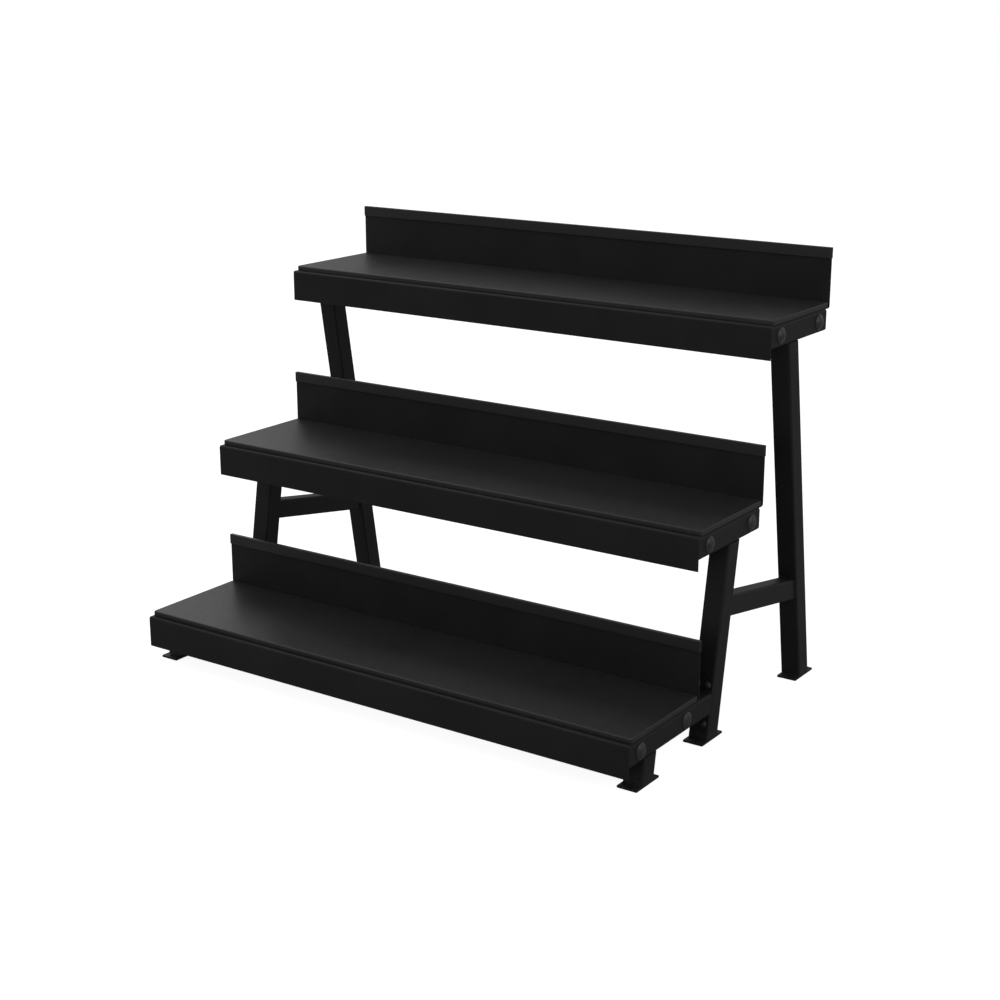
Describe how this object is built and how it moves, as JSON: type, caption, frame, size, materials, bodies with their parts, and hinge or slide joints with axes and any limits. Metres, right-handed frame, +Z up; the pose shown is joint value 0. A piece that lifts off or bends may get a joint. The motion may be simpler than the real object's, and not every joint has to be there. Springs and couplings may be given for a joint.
{
  "type": "dumbbell rack",
  "caption": "Stepped dumbbell rack: leaning square-tube side frames carry flat steel trays with rubber mats, raised back plates and domed side bolts.",
  "frame": {"origin": "on the floor, at the middle of the footprint", "axes": "+X along the rack to its right as seen from the front, +Y towards the back, +Z up; the trays face -Y"},
  "size_m": [1.418, 0.9, 1.057],
  "materials": {
    "powder_coat": "satin black powder coat with a fine orange-peel texture",
    "rubber": "smooth satin black rubber mat",
    "plastic": "satin black extruded and moulded plastic",
    "fastener": "black coated steel fasteners, slightly glossier than the frame"
  },
  "bodies": {
    "root": {"bottom_tray": "powder_coat", "bottom_mat": "rubber", "bottom_edge_trim": "plastic", "bottom_deck_ribs": "powder_coat", "bottom_bolts": "fastener", "bottom_washers": "fastener", "bottom_nuts": "fastener", "middle_tray": "powder_coat", "middle_mat": "rubber", "middle_edge_trim": "plastic", "middle_deck_ribs": "powder_coat", "middle_bolts": "fastener", "middle_washers": "fastener", "middle_nuts": "fastener", "top_tray": "powder_coat", "top_mat": "rubber", "top_edge_trim": "plastic", "top_deck_ribs": "powder_coat", "top_bolts": "fastener", "top_washers": "fastener", "top_nuts": "fastener", "left_bottom_arm": "powder_coat", "left_middle_arm": "powder_coat", "left_top_arm": "powder_coat", "left_bottom_bracket": "powder_coat", "left_middle_bracket": "powder_coat", "left_top_bracket": "powder_coat", "left_middle_arm_cap": "plastic", "left_top_arm_cap": "plastic", "left_front_leg": "powder_coat", "left_middle_leg": "powder_coat", "left_rear_leg": "powder_coat", "left_tie": "powder_coat", "left_front_foot": "powder_coat", "left_middle_foot": "powder_coat", "left_rear_foot": "powder_coat", "left_end_plate": "powder_coat", "left_end_plate_bolts": "fastener", "left_end_plate_nuts": "fastener", "right_bottom_arm": "powder_coat", "right_middle_arm": "powder_coat", "right_top_arm": "powder_coat", "right_bottom_bracket": "powder_coat", "right_middle_bracket": "powder_coat", "right_top_bracket": "powder_coat", "right_middle_arm_cap": "plastic", "right_top_arm_cap": "plastic", "right_front_leg": "powder_coat", "right_middle_leg": "powder_coat", "right_rear_leg": "powder_coat", "right_tie": "powder_coat", "right_front_foot": "powder_coat", "right_middle_foot": "powder_coat", "right_rear_foot": "powder_coat", "right_end_plate": "powder_coat", "right_end_plate_bolts": "fastener", "right_end_plate_nuts": "fastener"}
  },
  "joints": []
}
